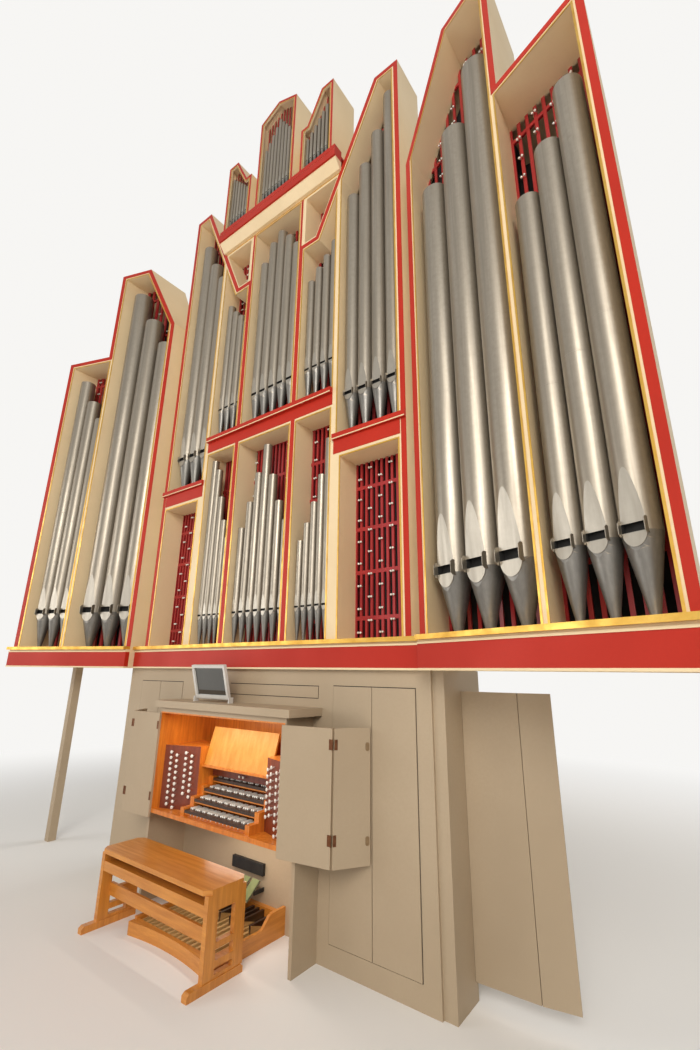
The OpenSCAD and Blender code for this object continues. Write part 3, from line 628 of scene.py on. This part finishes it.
# %% Turned parts and plates
def turned_part(name, profile, steps, ring=False):
    """A part turned about +Z from (radius, height) points. A ring joins its two end points."""
    bm = bmesh.new()
    points = [bm.verts.new((r, 0, z)) for r, z in profile]
    edges = [bm.edges.new(pair) for pair in zip(points, points[1:])]
    if ring:
        edges.append(bm.edges.new((points[-1], points[0])))
    bmesh.ops.spin(bm, geom=points + edges, cent=(0, 0, 0), axis=(0, 0, 1),
                   angle=2 * math.pi, steps=steps, use_merge=True)
    return part_mesh(name, bm)

def plate_part(name, size, soft, chosen=None):
    """A plate of a real size, its edges (or the chosen ones) bevelled by soft metres."""
    bm = bmesh.new()
    bmesh.ops.create_cube(bm, size=1.0)
    bmesh.ops.scale(bm, vec=size, verts=bm.verts)
    edges = [e for e in bm.edges if chosen is None or chosen(e)]
    bmesh.ops.bevel(bm, geom=edges, offset=soft, offset_type="OFFSET", segments=1,
                    affect="EDGES", profile=0.5, material=-1)
    return part_mesh(name, bm)

# %% [markdown]
# Stop knobs are turned from a pale material: a thin shank, a swelling neck and a round face with a
# softened rim. They stand on the slanted jambs in two pairs of columns. In each pair one column
# hangs half a row lower, so that a hand can grip one knob between its neighbours. Each column is
# given by its distance from the middle, how much lower it starts, and its number of knobs.

# %% Stop knobs
KNOB_TOP, KNOB_ROW, HALF_ROW = 1.235, 0.048, 0.024
JAMB_X, JAMB_Y, JAMB_SLOPE = 0.488, -0.1206, 0.3452

knob = turned_part("knob", [(0, 0), (0.005, 0), (0.005, 0.013), (0.0095, 0.022),
                            (0.0142, 0.028), (0.0142, 0.032), (0.0118, 0.034), (0, 0.0345)], 14)
bm = bmesh.new()
for side in (1, -1):
    off_the_jamb = pointing((-0.3264 * side, -0.9452, 0))
    for x, lower, rows in ((0.506, HALF_ROW, 8), (0.566, 0.0, 8),
                           (0.658, HALF_ROW, 10), (0.718, 0.0, 10)):
        y = JAMB_Y - (x - JAMB_X) * JAMB_SLOPE
        for row in range(rows):
            spot = moved(side * x, y, KNOB_TOP - row * KNOB_ROW - lower)
            add_copy(bm, knob, spot @ off_the_jamb)
stop_heads = piece("stop_heads", part_mesh("stop_heads", bm), knob_white)
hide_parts("stop_knobs")

# %% [markdown]
# Pale pegs hold the bars of the red grilles. They stand in pairs, one at each side of a bar, and
# neighbouring columns are shifted by half a row. There are hundreds of them, so each one is turned
# in six steps only. The helper fills one column between two heights.

# %% A peg and a column of pegs
peg = turned_part("peg", [(0, 0), (0.0045, 0), (0.0045, 0.012), (0.0105, 0.018),
                          (0.009, 0.028), (0, 0.029)], 6)
pegs_bm = bmesh.new()

def peg_column(x, low, high, pitch, shifted, place):
    """One column of paired pegs between two heights; place turns (x, z) into a matrix."""
    z = high - (0.5 * pitch if shifted else 0)
    while z > low:
        for beside_bar in (-0.012, 0.012):
            add_copy(pegs_bm, peg, place(x + beside_bar, z))
        z -= pitch

print("one peg has", len(peg.polygons), "faces")

# %% [markdown]
# In the main case a column starts where the pipes leave the grille in view, and ends at the top
# of its opening, which is slanted in one field at each side. The lower fields have a row every
# 200 mm, and the fields near the crown every 100 mm.

# %% Pegs on the main case
GRILLE_FRONT, WIDE_ROWS, CLOSE_ROWS = 0.2502, 0.2, 0.1
TRIANGLE_SLOPE = 2.1
side_starts = {1: (3.2, 3.5, 4.2), -1: (3.7, 4.0, 4.3)}

def on_main(x, z):
    """A place on the front of the grilles of the main case."""
    return moved(x, GRILLE_FRONT, z) @ FORWARD

for side in (1, -1):
    for k in range(5):
        peg_column(side * (1.12 + 0.112 * k), 2.27, 3.79, WIDE_ROWS, k % 2 == 0, on_main)
    for k in range(3):
        low = side_starts[side][k]
        peg_column(side * (0.56 + 0.168 * k), low, 4.34, WIDE_ROWS, k % 2 == 0, on_main)
    for k in range(4):
        top = 6.52 + max(0.0, 0.084 * k - 0.12) * TRIANGLE_SLOPE
        peg_column(side * (0.588 + 0.084 * k), 6.2 + 0.1 * k, top, CLOSE_ROWS, k % 2 == 0, on_main)
    for k, low in enumerate((6.76, 6.8, 7.02)):
        peg_column(side * (0.56 + 0.112 * k), low, 7.30, CLOSE_ROWS, k % 2 == 0, on_main)
for x, low in ((-0.336, 3.5), (-0.168, 3.9), (0.168, 3.9), (0.336, 3.5)):
    peg_column(x, low, 4.34, WIDE_ROWS, abs(x) > 0.2, on_main)
for x in (-0.336, -0.252, 0.252, 0.336):
    peg_column(x, 6.95, 7.30, CLOSE_ROWS, abs(x) > 0.3, on_main)
print("pegs on the main case", len(pegs_bm.verts) // len(peg.vertices))

# %% [markdown]
# The grilles of the pedal towers stand behind fronts that are turned inwards. A peg's place on such
# a grille follows from the plane of the grille, and the peg is turned with it. The inner field is
# high with a slanted top, and the outer one is lower.

# %% Pegs on the pedal towers
GRILLE_DEPTH, TOP_SLOPE = 0.3198, 1.93

def on_tower(side):
    """Places on the front of the grille of one pedal tower."""
    def place(x, z):
        y = TOWER_Y + (GRILLE_DEPTH - (x - TOWER_X) * TURN_SIN) / TURN_COS
        return at(side * x, y, z, -side * TURN) @ FORWARD
    return place

for side in (1, -1):
    for k in range(5):
        x = 1.98 + 0.18 * k
        along = (x - TOWER_X) / TURN_COS
        top = min(7.60, 6.60 + max(0.0, along - 0.09) * TOP_SLOPE)
        low = 6.1 if along < 0.36 else 6.5
        peg_column(x, low, top, WIDE_ROWS, k % 2 == 0, on_tower(side))
    for k in range(4):
        peg_column(2.952 + 0.144 * k, 5.1, 6.16, WIDE_ROWS, k % 2 == 0, on_tower(side))
print("pegs in all", len(pegs_bm.verts) // len(peg.vertices))
piece("grille_pegs", part_mesh("grille_pegs", pegs_bm), knob_white)

# %% [markdown]
# A large pipe is soldered from two lengths of sheet, and a level seam shows where they meet. It is
# a thin ring at two fifths of the body's length.

# %% Seams of the large pipes
body_lengths = {"pedal_pipes_left": (3.798, 4.245, 4.770, 2.723, 3.025, 3.387),
                "pedal_pipes_right": (3.543, 3.945, 4.415, 2.508, 2.796, 3.150),
                "tower_pipes_left": (3.410, 2.974, 2.636),
                "tower_pipes_right": (2.495, 2.826, 3.190, 3.657)}

bm = bmesh.new()
for rank, lengths in body_lengths.items():
    for (x, y, mouth_z, wide), length in zip(ranks[rank], lengths):
        inner, outer = wide / 2 - 0.002, wide / 2 + 0.0008
        ring = turned_part("ring", [(inner, -0.003), (outer, -0.002),
                                    (outer, 0.002), (inner, 0.003)], 24, ring=True)
        add_copy(bm, ring, at(x, y, mouth_z + 0.4 * length))
piece("pipe_seams", part_mesh("pipe_seams", bm), pipe_metal)

# %% [markdown]
# Below each mouth lies the lower lip, half of a bright oval: a disc is made, stretched and cut in
# two. It lies on the flat of the foot, which leans forward on a slim pipe and stands upright on a
# wide one, so each lip gets the lean of its own pipe.

# %% Lower lips of the large pipes
foot_lengths = {"pedal_pipes_left": 0.418, "pedal_pipes_right": 0.418,
                "tower_pipes_left": 0.430, "tower_pipes_right": 0.430}

def lean_of(wide, foot_length):
    """The lean of the flat below a mouth, from its inset there and where it leaves the cone."""
    inset = LIP_DEPTH * wide - 0.78 * wide / 2 * LOWER_LIP * wide / foot_length
    return math.atan2(inset, LOWER_LIP * wide)

def lower_lip(r):
    """The rounded lower lip of a pipe: half a flat oval, straight along the mouth."""
    bm = bmesh.new()
    bmesh.ops.create_cone(bm, cap_ends=True, segments=28, radius1=1.0, radius2=1.0, depth=1.0)
    upright_disc = Matrix.Rotation(math.pi / 2, 3, "X")
    bmesh.ops.rotate(bm, cent=(0, 0, 0), matrix=upright_disc, verts=bm.verts)
    bmesh.ops.scale(bm, vec=(0.62 * r, 0.05 * r, 0.8 * r), verts=bm.verts)
    cut = bmesh.ops.bisect_plane(bm, geom=bm.verts[:] + bm.edges[:] + bm.faces[:],
                                 plane_co=(0, 0, -0.03 * r), plane_no=(0, 0, 1),
                                 clear_outer=True)
    rim = [e for e in cut["geom_cut"] if isinstance(e, bmesh.types.BMEdge)]
    bmesh.ops.holes_fill(bm, edges=rim)
    return part_mesh("lower_lip", bm)

bm = bmesh.new()
for rank, foot_length in foot_lengths.items():
    for x, y, mouth_z, wide in ranks[rank]:
        leaning = Matrix.Rotation(-lean_of(wide, foot_length), 4, "X")
        below_mouth = at(x, y, mouth_z, turn_of(rank)) @ moved(0, -0.775 * wide / 2, 0)
        add_copy(bm, lower_lip(wide / 2), below_mouth @ leaning)
piece("lower_lips", part_mesh("lower_lips", bm), lip_metal, smooth=False)

# %% [markdown]
# At both sides of each mouth stands an ear, a plate that steadies the sound. Only the corners of
# its front are cut, so the bevel takes the two front edges that run across the plate.

# %% Ears of the large pipes
def crosses_front(edge):
    """Whether an edge runs across the front of a plate."""
    a, b = (v.co for v in edge.verts)
    return a.y < 0 and b.y < 0 and abs(a.x - b.x) > 0.001

bm = bmesh.new()
for rank in foot_lengths:
    for x, y, mouth_z, wide in ranks[rank]:
        r, high = wide / 2, MOUTH * wide
        ear = plate_part("ear", (0.004, 0.42 * r, 1.8 * high), 0.3 * high, crosses_front)
        middle_of_mouth = at(x, y, mouth_z + high / 2, turn_of(rank))
        for way in (-1, 1):
            add_copy(bm, ear, middle_of_mouth @ moved(way * 0.66 * r, -0.86 * r, 0))
piece("pipe_ears", part_mesh("pipe_ears", bm), pipe_metal, smooth=False)

# %% [markdown]
# The folding leaves hang on copper butt hinges, and two rounded bronze plates sit at the free edge
# of the right outer leaf. A hinge is two flaps and a round barrel between them. A flap has all its
# edges softened, and a plate only those that run through its thickness.

# %% Finishes and shapes of the door fittings
copper = finish("copper", mottle, (0.24, 0.095, 0.042), (0.14, 0.055, 0.026), (0.3, 0.5),
                metal=0.8, Patch=30.0, Grain=200.0)
bronze = finish("bronze", mottle, (0.36, 0.25, 0.14), (0.26, 0.17, 0.09), (0.35, 0.5),
                metal=0.7, Patch=30.0, Grain=200.0)

def runs_through(edge):
    """Whether an edge runs through the thickness of a plate."""
    a, b = (v.co for v in edge.verts)
    return abs(a.y - b.y) > 0.002

flap = plate_part("flap", (0.024, 0.0024, 0.07), 0.001)
catch = plate_part("catch", (0.03, 0.003, 0.058), 0.009, runs_through)
barrel = turned_part("barrel", [(0, -0.035), (0.005, -0.035), (0.005, 0.035), (0, 0.035)], 12)
print("flap", len(flap.polygons), "catch", len(catch.polygons), "barrel", len(barrel.polygons))

# %% [markdown]
# A leaf is given by its two ends in plan. A flap lies flat on it, so its place is a step along the
# leaf and then half the leaf's thickness outwards. A barrel stands where two leaves meet.

# %% Hinges and plates on the doors
LEAF_FACE = 0.0118
right_inner, right_outer = ((0.806, -0.3255), (1.238, -0.2525)), ((1.2463, -0.25), (1.396, -0.02))
left_inner = ((-1.216, -0.345), (-0.806, -0.3214))

def on_leaf(leaf, along, z):
    """The place of a plate on the outer face of a door leaf, along metres from its start."""
    start, end = Vector(leaf[0]), Vector(leaf[1])
    way = (end - start).normalized()
    spot = start + way * along + Vector((way.y, -way.x)) * LEAF_FACE
    return at(spot.x, spot.y, z, math.atan2(way.y, way.x))

bm, plates = bmesh.new(), bmesh.new()
for z in (0.87, 1.47):
    add_copy(bm, flap, on_leaf(right_inner, 0.425, z))
    add_copy(bm, flap, on_leaf(right_outer, 0.013, z))
    add_copy(bm, barrel, at(1.2445, -0.2665, z))
    add_copy(bm, flap, on_leaf(left_inner, 0.397, z))
    add_copy(bm, flap, on_leaf(left_inner, 0.014, z))
    add_copy(bm, barrel, at(-1.2225, -0.3555, z))
    add_copy(plates, catch, on_leaf(right_outer, 0.253, z - 0.02))
piece("hinges", part_mesh("hinges", bm), copper, smooth=False)
piece("catches", part_mesh("catches", plates), bronze, smooth=False)

# %% [markdown]
# The player's mirror is a sheet of dark glass in the tray of its frame. It is a metal with almost
# no roughness, and it moves with the frame when that is tilted. MIRROR_CORNER is the left end of
# the line that the frame tilts about.

# %% Mirror glass
MIRROR_CORNER, MIRROR_LEAN = (-0.48, -0.175, 1.725), math.radians(16)

silvered = finish("silvered", mottle, (0.2, 0.2, 0.19), (0.17, 0.17, 0.165), (0.04, 0.08),
                  metal=1.0, bump=0.0, Patch=2.0, Grain=20.0)
sheet = plate_part("sheet", (0.41, 0.002, 0.244), 0.0006)
bm = bmesh.new()
leaning = moved(*MIRROR_CORNER) @ Matrix.Rotation(MIRROR_LEAN, 4, "X")
add_copy(bm, sheet, leaning @ moved(0.24, 0.0004, 0.154))
piece("mirror_glass", part_mesh("mirror_glass", bm), silvered, "player_mirror",
      smooth=False)

# %% [markdown]
# Each swell pedal has an olive green tread glued on its metal, and a pale strip along its front
# edge, where the ball of the foot pushes. Both are plates in the pedal's own tilted frame.

# %% Treads of the swell pedals
SHOE_TILT, SHOE_Y, SHOE_Z = math.radians(40), 0.045, 0.25

tread_green = finish("tread_green", mottle, (0.25, 0.29, 0.12), (0.19, 0.22, 0.085), (0.55, 0.75),
                     Patch=14.0, Grain=260.0)
pale_strip = finish("pale_strip", mottle, (0.7, 0.55, 0.25), (0.55, 0.41, 0.17), (0.35, 0.5),
                    metal=0.3, Patch=20.0, Grain=150.0)
pad = plate_part("pad", (0.079, 0.162, 0.003), 0.001)
edge_strip = plate_part("edge", (0.083, 0.003, 0.013), 0.001)
for hand, x in (("left", 0.0625), ("right", 0.1725)):
    tilted = moved(x, SHOE_Y, SHOE_Z) @ Matrix.Rotation(SHOE_TILT, 4, "X")
    shoe = "swell_pedal_" + hand
    tread, strip = bmesh.new(), bmesh.new()
    add_copy(tread, pad, tilted @ moved(0, 0.005, 0.016))
    add_copy(strip, edge_strip, tilted @ moved(0, -0.0888, 0.009))
    piece("tread_" + hand, part_mesh("tread", tread), tread_green, shoe, smooth=False)
    piece("strip_" + hand, part_mesh("strip", strip), pale_strip, shoe, smooth=False)

# %% [markdown]
# Small round buttons stand in two groups of seven on the slip under the lowest manual, and two
# pale lamps sit on the dark rail below the music desk. A lamp is a stop knob made smaller.

# %% Buttons and rail lamps
BUTTON_STEP, GROUP_GAP = 0.045, 0.02

button = turned_part("button", [(0, 0), (0.0045, 0), (0.0045, 0.004), (0.0035, 0.005),
                                (0, 0.005)], 10)
bm = bmesh.new()
for k in range(14):
    x = -0.30 + k * BUTTON_STEP + (GROUP_GAP if k > 6 else 0)
    add_copy(bm, button, moved(x, -0.2538, 0.782) @ FORWARD)
for x in (-0.05, 0.0):
    add_copy(bm, knob, moved(x, 0.0602, 1.066) @ FORWARD @ Matrix.Scale(0.8, 4))
piece("rail_buttons", part_mesh("rail_buttons", bm), knob_white)

# %% [markdown]
# A thin cream moulding runs under each dark red ledge of the main case: one over the middle
# fields and a lower one over each side field. Each is one bevelled strip.

# %% Lines under the ledges
LINE_DEPTH, LINE_HEIGHT = 0.006, 0.011

bm = bmesh.new()
for x, y, z, length in ((0, -0.0425, 4.568, 1.898), (1.365, -0.0305, 4.048, 0.786),
                        (-1.365, -0.0305, 4.048, 0.786)):
    line = plate_part("line", (length, LINE_DEPTH, LINE_HEIGHT), 0.002)
    add_copy(bm, line, moved(x, y, z))
piece("ledge_lines", part_mesh("ledge_lines", bm), cream_paint, smooth=False)
